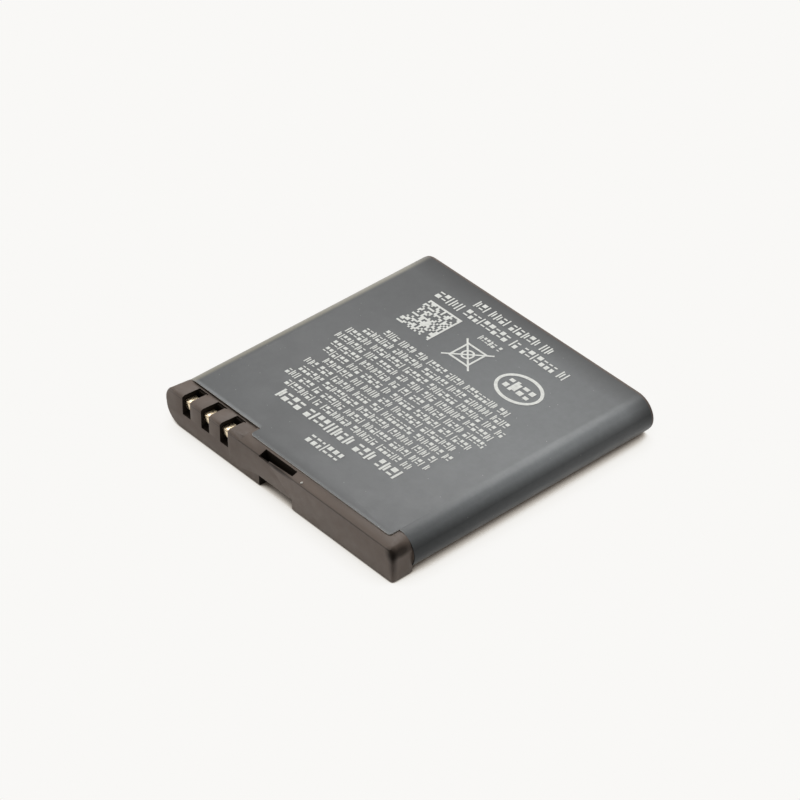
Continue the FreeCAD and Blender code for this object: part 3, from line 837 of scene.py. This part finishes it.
def add_outline(x_middle, y_middle, width, length, corners, line, turn=0):
    """Adds a flat ring with the given number of corners, turned by degrees."""
    spot = place(x_middle, y_middle, LABEL_TOP)
    bpy.ops.mesh.primitive_circle_add(vertices=corners, radius=MM / 2, fill_type="NGON",
                                      location=spot, rotation=(0, 0, math.radians(turn)))
    bpy.ops.transform.resize(value=(width, length, 1.0), center_override=spot)
    bpy.ops.mesh.inset(thickness=line * MM, depth=0)
    bpy.ops.mesh.delete(type="FACE")


# Left and right ends of the rows in the text field, from the back row to the front one, the
# place of the back row and the rows' pitch, height and stroke
TEXT_ROWS = (
    (9.5, 30.3), (7.6, 31.8), (6.2, 32.8), (6.0, 32.4), (6.9, 32.7), (7.2, 32.1), (8.9, 31.2),
    (7.3, 32.0), (8.1, 31.4), (7.4, 31.6), (9.0, 30.3),
)
TEXT_BACK_ROW = 25.14
TEXT_PITCH = 1.449
TEXT_HEIGHT = 1.08
TEXT_STROKE = 0.16

# The other rows: left end, right end, middle, height and stroke
OTHER_ROWS = (
    (10.0, 30.5, 8.78, 1.68, 0.3),
    (18.4, 20.6, 5.95, 1.6, 0.28),
    (21.3, 23.6, 5.95, 1.6, 0.28),
    (8.0, 30.2, 34.75, 1.45, 0.2),
    (12.4, 25.5, 36.75, 1.35, 0.2),
    (17.4, 21.1, 32.7, 0.95, 0.15),
)
RING_ROW = (25.6, 29.7, 29.35, 1.9, 0.5)

# The middles of the crossed box mark and of the oval ring mark
BOX_MARK = (19.0, 29.35)
RING_MARK = (27.65, 29.35)
INK_HEIGHT = 0.028
PRINT_SEED = 7


def build_print():
    """All printed marks: rows of ticks, a checked patch, a box mark and a ring mark."""
    clear_selection()
    draw = random.Random(PRINT_SEED)
    bpy.ops.mesh.primitive_plane_add(size=1.0, location=place(21.0, 5.95, LABEL_TOP))
    marks = named_primitive("printed_marks")
    marks.scale = (0.2 * MM, 1.6 * MM, 1.0)
    apply_placing()
    bpy.ops.object.mode_set(mode="EDIT")
    bpy.ops.mesh.select_mode(type="FACE")
    for number, (start, end) in enumerate(TEXT_ROWS):
        tick_row(draw, start, end, TEXT_BACK_ROW - number * TEXT_PITCH, TEXT_HEIGHT, TEXT_STROKE)
    for row in OTHER_ROWS:
        tick_row(draw, *row)
    checked_patch(draw, left=8.4, front=27.7, size=5.5, cells=20)
    add_outline(*BOX_MARK, width=4.6, length=4.6, corners=4, line=0.26, turn=45)
    add_outline(*BOX_MARK, width=1.7, length=1.7, corners=24, line=0.24)
    for turn, sunk in ((42, 0.005), (-42, 0.010)):
        add_slash(*BOX_MARK, length=6.2, width=0.24, turn=turn, sunk=sunk)
    add_outline(*RING_MARK, width=6.6, length=4.9, corners=48, line=0.42)
    tick_row(draw, *RING_ROW)
    bpy.ops.mesh.select_all(action="SELECT")
    bpy.ops.mesh.extrude_region_move(TRANSFORM_OT_translate={"value": (0, 0, INK_HEIGHT * MM)})
    leave_turned_outward()
    dress(marks, print_ink(), "print_ink", "label_print")


def bent_strip(name, start):
    """A ribbon drawn from its tail along the contact's path, with its bends rounded."""
    clear_selection()
    bpy.ops.mesh.primitive_plane_add(size=1.0, location=start)
    strip = named_primitive(name)
    bpy.ops.object.mode_set(mode="EDIT")
    bpy.ops.mesh.select_all(action="SELECT")
    bpy.ops.mesh.delete(type="ONLY_FACE")
    mesh = bmesh.from_edit_mesh(strip.data)
    back = [vert for vert in mesh.verts if vert.co.y > 0]
    bmesh.ops.delete(mesh, geom=back, context="VERTS")
    for vert in mesh.verts:
        vert.co = Vector((math.copysign(CONTACT_HALF_WIDTH * MM, vert.co.x), 0, 0))
        vert.select_set(True)
    mesh.select_flush(True)
    bmesh.update_edit_mesh(strip.data)
    bpy.ops.mesh.select_mode(type="EDGE")
    bpy.ops.mesh.select_all(action="SELECT")
    for before, after in zip(CONTACT_PATH, CONTACT_PATH[1:]):
        step = Vector((0, after[0] - before[0], after[1] - before[1])) * MM
        bpy.ops.mesh.extrude_region_move(TRANSFORM_OT_translate={"value": step})
    bends = [place(0, *spot).yz - start.yz for spot in CONTACT_PATH[1:-1]]

    def is_bend(edge):
        first, second = (vert.co for vert in edge.verts)
        return (abs(first.x - second.x) > CONTACT_HALF_WIDTH * MM
                and any((first.yz - bend).length < SAME_PLACE for bend in bends))

    choose(strip, "edges", is_bend)
    bpy.ops.mesh.bevel(offset=0.12 * MM, segments=4, profile=0.5, affect="EDGES")
    bpy.ops.object.mode_set(mode="OBJECT")
    apply_placing()
    return strip


def build_contacts():
    """The three gilded contacts, each a bent strip with a thickness and eased edges."""
    gold = gold_flash()
    for node, middle in zip(CONTACT_NODES, CONTACT_PLACES):
        strip = bent_strip(node + "_strip", place(middle, *CONTACT_PATH[0]))
        finish_modifier(strip, "SOLIDIFY", thickness=0.19 * MM, offset=0.0, use_even_offset=True)
        ease_edges(strip, width=0.03)
        take(strip)
        bpy.ops.object.mode_set(mode="EDIT")
        leave_turned_outward()
        smooth(strip, angle=40)
        dress(strip, gold, "gold_contact", node)


def build_dust_speck():
    """The one pale speck of dust that lies on the cap's bevel."""
    clear_selection()
    bpy.ops.mesh.primitive_ico_sphere_add(subdivisions=2, radius=0.17 * MM,
                                          location=place(23.6, 0.4, 4.54))
    speck = named_primitive("dust_speck")
    speck.scale = (0.8, 1.1, 0.45)
    apply_placing()
    bpy.ops.object.shade_smooth()
    dress(speck, plain_surface("dust", (0.72, 0.71, 0.66), 0.8), "print_ink")


def finish_inside():
    """Gives every carried-over node inside the pack its own material."""
    nickel = drawn_metal("rolled_nickel", (0.60, 0.56, 0.50), 0.32, (1.0, 1.0, 8.0))
    aluminium = drawn_metal("drawn_aluminium", (0.76, 0.76, 0.78), 0.36, (8.0, 1.0, 8.0))
    by_slot = {"nickel": nickel, "can_aluminium": aluminium}
    for slot, (colour, roughness) in INSIDE_FINISHES.items():
        by_slot[slot] = plain_surface(slot, colour, roughness)
    for part in frame["record"]["subparts"]:
        material = by_slot.get(part["material_slot"])
        if material:
            mesh = frame["nodes"][part["node"]].data
            mesh.materials.clear()
            mesh.materials.append(material)


# Stage

# The white that the camera sees of the table and of the room, and the gap under the pack
SHOWN_WHITE = (0.947, 0.939, 0.922)
TABLE_GAP = 0.01

# Places on the scale from covered to open floor, and the colours shown there
CONTACT_SHADOW = (
    (0.0, (0.012, 0.009, 0.007)), (0.22, (0.05, 0.04, 0.032)), (0.4, (0.5, 0.46, 0.41)),
    (0.52, (0.87, 0.855, 0.825)), (0.77, SHOWN_WHITE),
)

# Soft lamps: name, bearing and height in degrees, distance and size in metres, power, colour
SOFTBOXES = (
    ("back_softbox", 215, 58, 0.32, 0.26, 0.55, (1.0, 1.0, 1.0)),
    ("left_softbox", 300, 25, 0.6, 0.5, 0.5, (1.0, 0.98, 0.95)),
)

# The camera, as measured from the silhouette in an 800 by 800 picture: degrees and millimetres
CAMERA_AZIMUTH = 48.457
CAMERA_ELEVATION = 38.158
CAMERA_DISTANCE = 439.466
CAMERA_SIDE = -1.013
CAMERA_RISE = 3.074
CAMERA_LENS = 173.16
CAMERA_SENSOR = 36.0


def show_instead(tree, seen, lighting, shown, output):
    """Sends the rays of a factor to one shader and all other rays to the lighting shader."""
    blend = tree.nodes.new("ShaderNodeMixShader")
    tree.links.new(seen, blend.inputs[0])
    tree.links.new(lighting, blend.inputs[1])
    tree.links.new(shown, blend.inputs[2])
    tree.links.new(blend.outputs["Shader"], tree.nodes[output].inputs["Surface"])


def floor_material():
    """Overexposed white table: plain white to the camera, dark only where the pack sits on it."""
    material = bpy.data.materials.new("white_table")
    material.use_nodes = True
    tree = material.node_tree
    shader = tree.nodes["Principled BSDF"]
    shader.inputs["Base Color"].default_value = (0.93, 0.925, 0.915, 1.0)
    shader.inputs["Roughness"].default_value = 0.9
    shader.inputs["Specular IOR Level"].default_value = 0.1
    hollow = tree.nodes.new("ShaderNodeAmbientOcclusion")
    hollow.samples = 16
    hollow.inputs["Distance"].default_value = 6 * MM
    ramp = tree.nodes.new("ShaderNodeValToRGB")
    stops = ramp.color_ramp.elements
    while len(stops) < len(CONTACT_SHADOW):
        stops.new(0.5)
    for stop, (spot, colour) in zip(stops, CONTACT_SHADOW):
        stop.position = spot
        stop.color = (*colour, 1.0)
    glow = tree.nodes.new("ShaderNodeEmission")
    rays = tree.nodes.new("ShaderNodeLightPath")
    seen = tree.nodes.new("ShaderNodeMath")
    seen.operation = "MAXIMUM"
    tree.links.new(hollow.outputs["AO"], ramp.inputs["Fac"])
    tree.links.new(ramp.outputs["Color"], glow.inputs["Color"])
    tree.links.new(rays.outputs["Is Camera Ray"], seen.inputs[0])
    tree.links.new(rays.outputs["Is Glossy Ray"], seen.inputs[1])
    show_instead(tree, seen.outputs["Value"], shader.outputs["BSDF"], glow.outputs["Emission"],
                 "Material Output")
    return material


def build_floor():
    """The table top, a hair under the pack."""
    clear_selection()
    bpy.ops.mesh.primitive_plane_add(size=4.0, location=(0, 0, PACK_LOW.z - TABLE_GAP * MM))
    floor = named_primitive("table_top")
    apply_placing()
    floor.data.materials.append(floor_material())


def direction(bearing, height):
    """The unit vector to a bearing, counted from the contact face, and a height, in degrees."""
    bearing = math.radians(bearing)
    height = math.radians(height)
    return Vector((math.sin(bearing) * math.cos(height), -math.cos(bearing) * math.cos(height),
                   math.sin(height)))


def add_softbox(name, bearing, height, distance, size, power, colour):
    """A square soft lamp that points at the pack from a bearing and a height."""
    way = direction(bearing, height)
    clear_selection()
    bpy.ops.object.light_add(type="AREA", location=way * distance)
    lamp = bpy.context.object
    lamp.name = name
    lamp.rotation_euler = way.to_track_quat("Z", "Y").to_euler()
    lamp.data.shape = "SQUARE"
    lamp.data.size = size
    lamp.data.energy = power
    lamp.data.color = colour


def build_room():
    """Even pale surroundings, dimmer on the camera's side, that the camera sees as white."""
    dim_side = (0.85, -0.45, 0.28)
    world = bpy.data.worlds.new("pale_room")
    bpy.context.scene.world = world
    world.use_nodes = True
    tree = world.node_tree
    light = tree.nodes["Background"]
    light.inputs["Color"].default_value = (1.0, 0.99, 0.97, 1.0)
    way = tree.nodes.new("ShaderNodeTexCoord")
    toward = tree.nodes.new("ShaderNodeVectorMath")
    toward.operation = "DOT_PRODUCT"
    toward.inputs[1].default_value = dim_side
    level = tree.nodes.new("ShaderNodeMapRange")
    limits = {"From Min": -0.6, "From Max": 0.9, "To Min": 0.75, "To Max": 0.12}
    for name, number in limits.items():
        level.inputs[name].default_value = number
    tree.links.new(way.outputs["Generated"], toward.inputs[0])
    tree.links.new(toward.outputs["Value"], level.inputs["Value"])
    tree.links.new(level.outputs["Result"], light.inputs["Strength"])
    shown = tree.nodes.new("ShaderNodeBackground")
    shown.inputs["Color"].default_value = (*SHOWN_WHITE, 1.0)
    rays = tree.nodes.new("ShaderNodeLightPath")
    show_instead(tree, rays.outputs["Is Camera Ray"], light.outputs["Background"],
                 shown.outputs["Background"], "World Output")


def build_camera():
    """The camera at the picture's viewing angle."""
    azimuth = math.radians(CAMERA_AZIMUTH)
    elevation = math.radians(CAMERA_ELEVATION)
    back = direction(CAMERA_AZIMUTH, CAMERA_ELEVATION)
    right = Vector((math.cos(azimuth), math.sin(azimuth), 0))
    up = back.cross(right)
    spot = (back * CAMERA_DISTANCE + right * CAMERA_SIDE + up * CAMERA_RISE) * MM
    clear_selection()
    bpy.ops.object.camera_add(location=spot, rotation=(math.pi / 2 - elevation, 0, azimuth))
    camera = bpy.context.object
    camera.name = "picture_camera"
    camera.data.sensor_width = CAMERA_SENSOR
    camera.data.lens = CAMERA_LENS
    camera.data.clip_start = 0.01
    camera.data.clip_end = 10.0
    bpy.context.scene.camera = camera


# Settings that a user would change

def colour_setting(name, description, default):
    """A colour that the sidebar shows."""
    return bpy.props.FloatVectorProperty(name=name, description=description, default=default,
                                         subtype="COLOR", size=3, min=0.0, max=1.0)


class PackFinish(bpy.types.PropertyGroup):
    """Colours of the finished surfaces."""
    cap_colour: colour_setting("Cap plastic", "Colour of both moulded caps",
                               (0.132, 0.098, 0.077))
    label_colour: colour_setting("Label film", "Ground colour of the label",
                                 (0.118, 0.125, 0.129))
    print_colour: colour_setting("Print", "Colour of the printed marks", (0.90, 0.91, 0.87))
    gold_colour: colour_setting("Gold", "Colour of the gilded contacts", (1.0, 0.83, 0.58))


class PHONEPACK_OT_contact_cap(bpy.types.Operator):
    """Build the moulded contact cap"""
    bl_idname = "phonepack.contact_cap"
    bl_label = "Contact cap"

    def execute(self, context):
        build_contact_cap()
        return {"FINISHED"}


class PHONEPACK_OT_far_cap(bpy.types.Operator):
    """Build the thin cap on the far end"""
    bl_idname = "phonepack.far_cap"
    bl_label = "Far cap"

    def execute(self, context):
        build_far_cap()
        return {"FINISHED"}


class PHONEPACK_OT_label(bpy.types.Operator):
    """Build the wrapped label"""
    bl_idname = "phonepack.label"
    bl_label = "Label"

    def execute(self, context):
        build_label()
        return {"FINISHED"}


class PHONEPACK_OT_print(bpy.types.Operator):
    """Build the printed marks"""
    bl_idname = "phonepack.print"
    bl_label = "Print"

    def execute(self, context):
        build_print()
        return {"FINISHED"}


class PHONEPACK_OT_contacts(bpy.types.Operator):
    """Build the three gilded contacts"""
    bl_idname = "phonepack.contacts"
    bl_label = "Contacts"

    def execute(self, context):
        build_contacts()
        return {"FINISHED"}


class PHONEPACK_OT_dust(bpy.types.Operator):
    """Build the speck of dust on the cap"""
    bl_idname = "phonepack.dust"
    bl_label = "Dust"

    def execute(self, context):
        build_dust_speck()
        return {"FINISHED"}


class PHONEPACK_OT_inside(bpy.types.Operator):
    """Finish the parts inside the pack"""
    bl_idname = "phonepack.inside"
    bl_label = "Inside parts"

    def execute(self, context):
        finish_inside()
        return {"FINISHED"}


class PHONEPACK_OT_stage(bpy.types.Operator):
    """Set the table, the lights and the camera"""
    bl_idname = "phonepack.stage"
    bl_label = "Stage"

    def execute(self, context):
        build_floor()
        for lamp in SOFTBOXES:
            add_softbox(*lamp)
        build_room()
        build_camera()
        context.scene.view_settings.view_transform = "Standard"
        return {"FINISHED"}


OPERATORS = (
    PHONEPACK_OT_contact_cap, PHONEPACK_OT_far_cap, PHONEPACK_OT_label, PHONEPACK_OT_print,
    PHONEPACK_OT_contacts, PHONEPACK_OT_dust, PHONEPACK_OT_inside, PHONEPACK_OT_stage,
)


class PHONEPACK_PT_sidebar(bpy.types.Panel):
    """Lists the steps and the colours"""
    bl_label = "Phone battery"
    bl_idname = "PHONEPACK_PT_sidebar"
    bl_space_type = "VIEW_3D"
    bl_region_type = "UI"
    bl_category = "Phone battery"

    def draw(self, context):
        for name in ("cap_colour", "label_colour", "print_colour", "gold_colour"):
            self.layout.prop(context.scene.pack_finish, name)
        for step in OPERATORS:
            self.layout.operator(step.bl_idname)


CLASSES = (PackFinish,) + OPERATORS + (PHONEPACK_PT_sidebar,)


def register():
    """Registers the classes and the scene's settings."""
    for entry in CLASSES:
        bpy.utils.register_class(entry)
    bpy.types.Scene.pack_finish = bpy.props.PointerProperty(type=PackFinish)


def unregister():
    """Takes the settings and the classes away again."""
    del bpy.types.Scene.pack_finish
    for entry in reversed(CLASSES):
        bpy.utils.unregister_class(entry)


def main():
    """Registers the steps and builds every piece in order."""
    register()
    bpy.ops.phonepack.contact_cap()
    bpy.ops.phonepack.far_cap()
    bpy.ops.phonepack.label()
    bpy.ops.phonepack.print()
    bpy.ops.phonepack.contacts()
    bpy.ops.phonepack.dust()
    bpy.ops.phonepack.inside()
    bpy.ops.phonepack.stage()


if __name__ == "__main__":
    main()
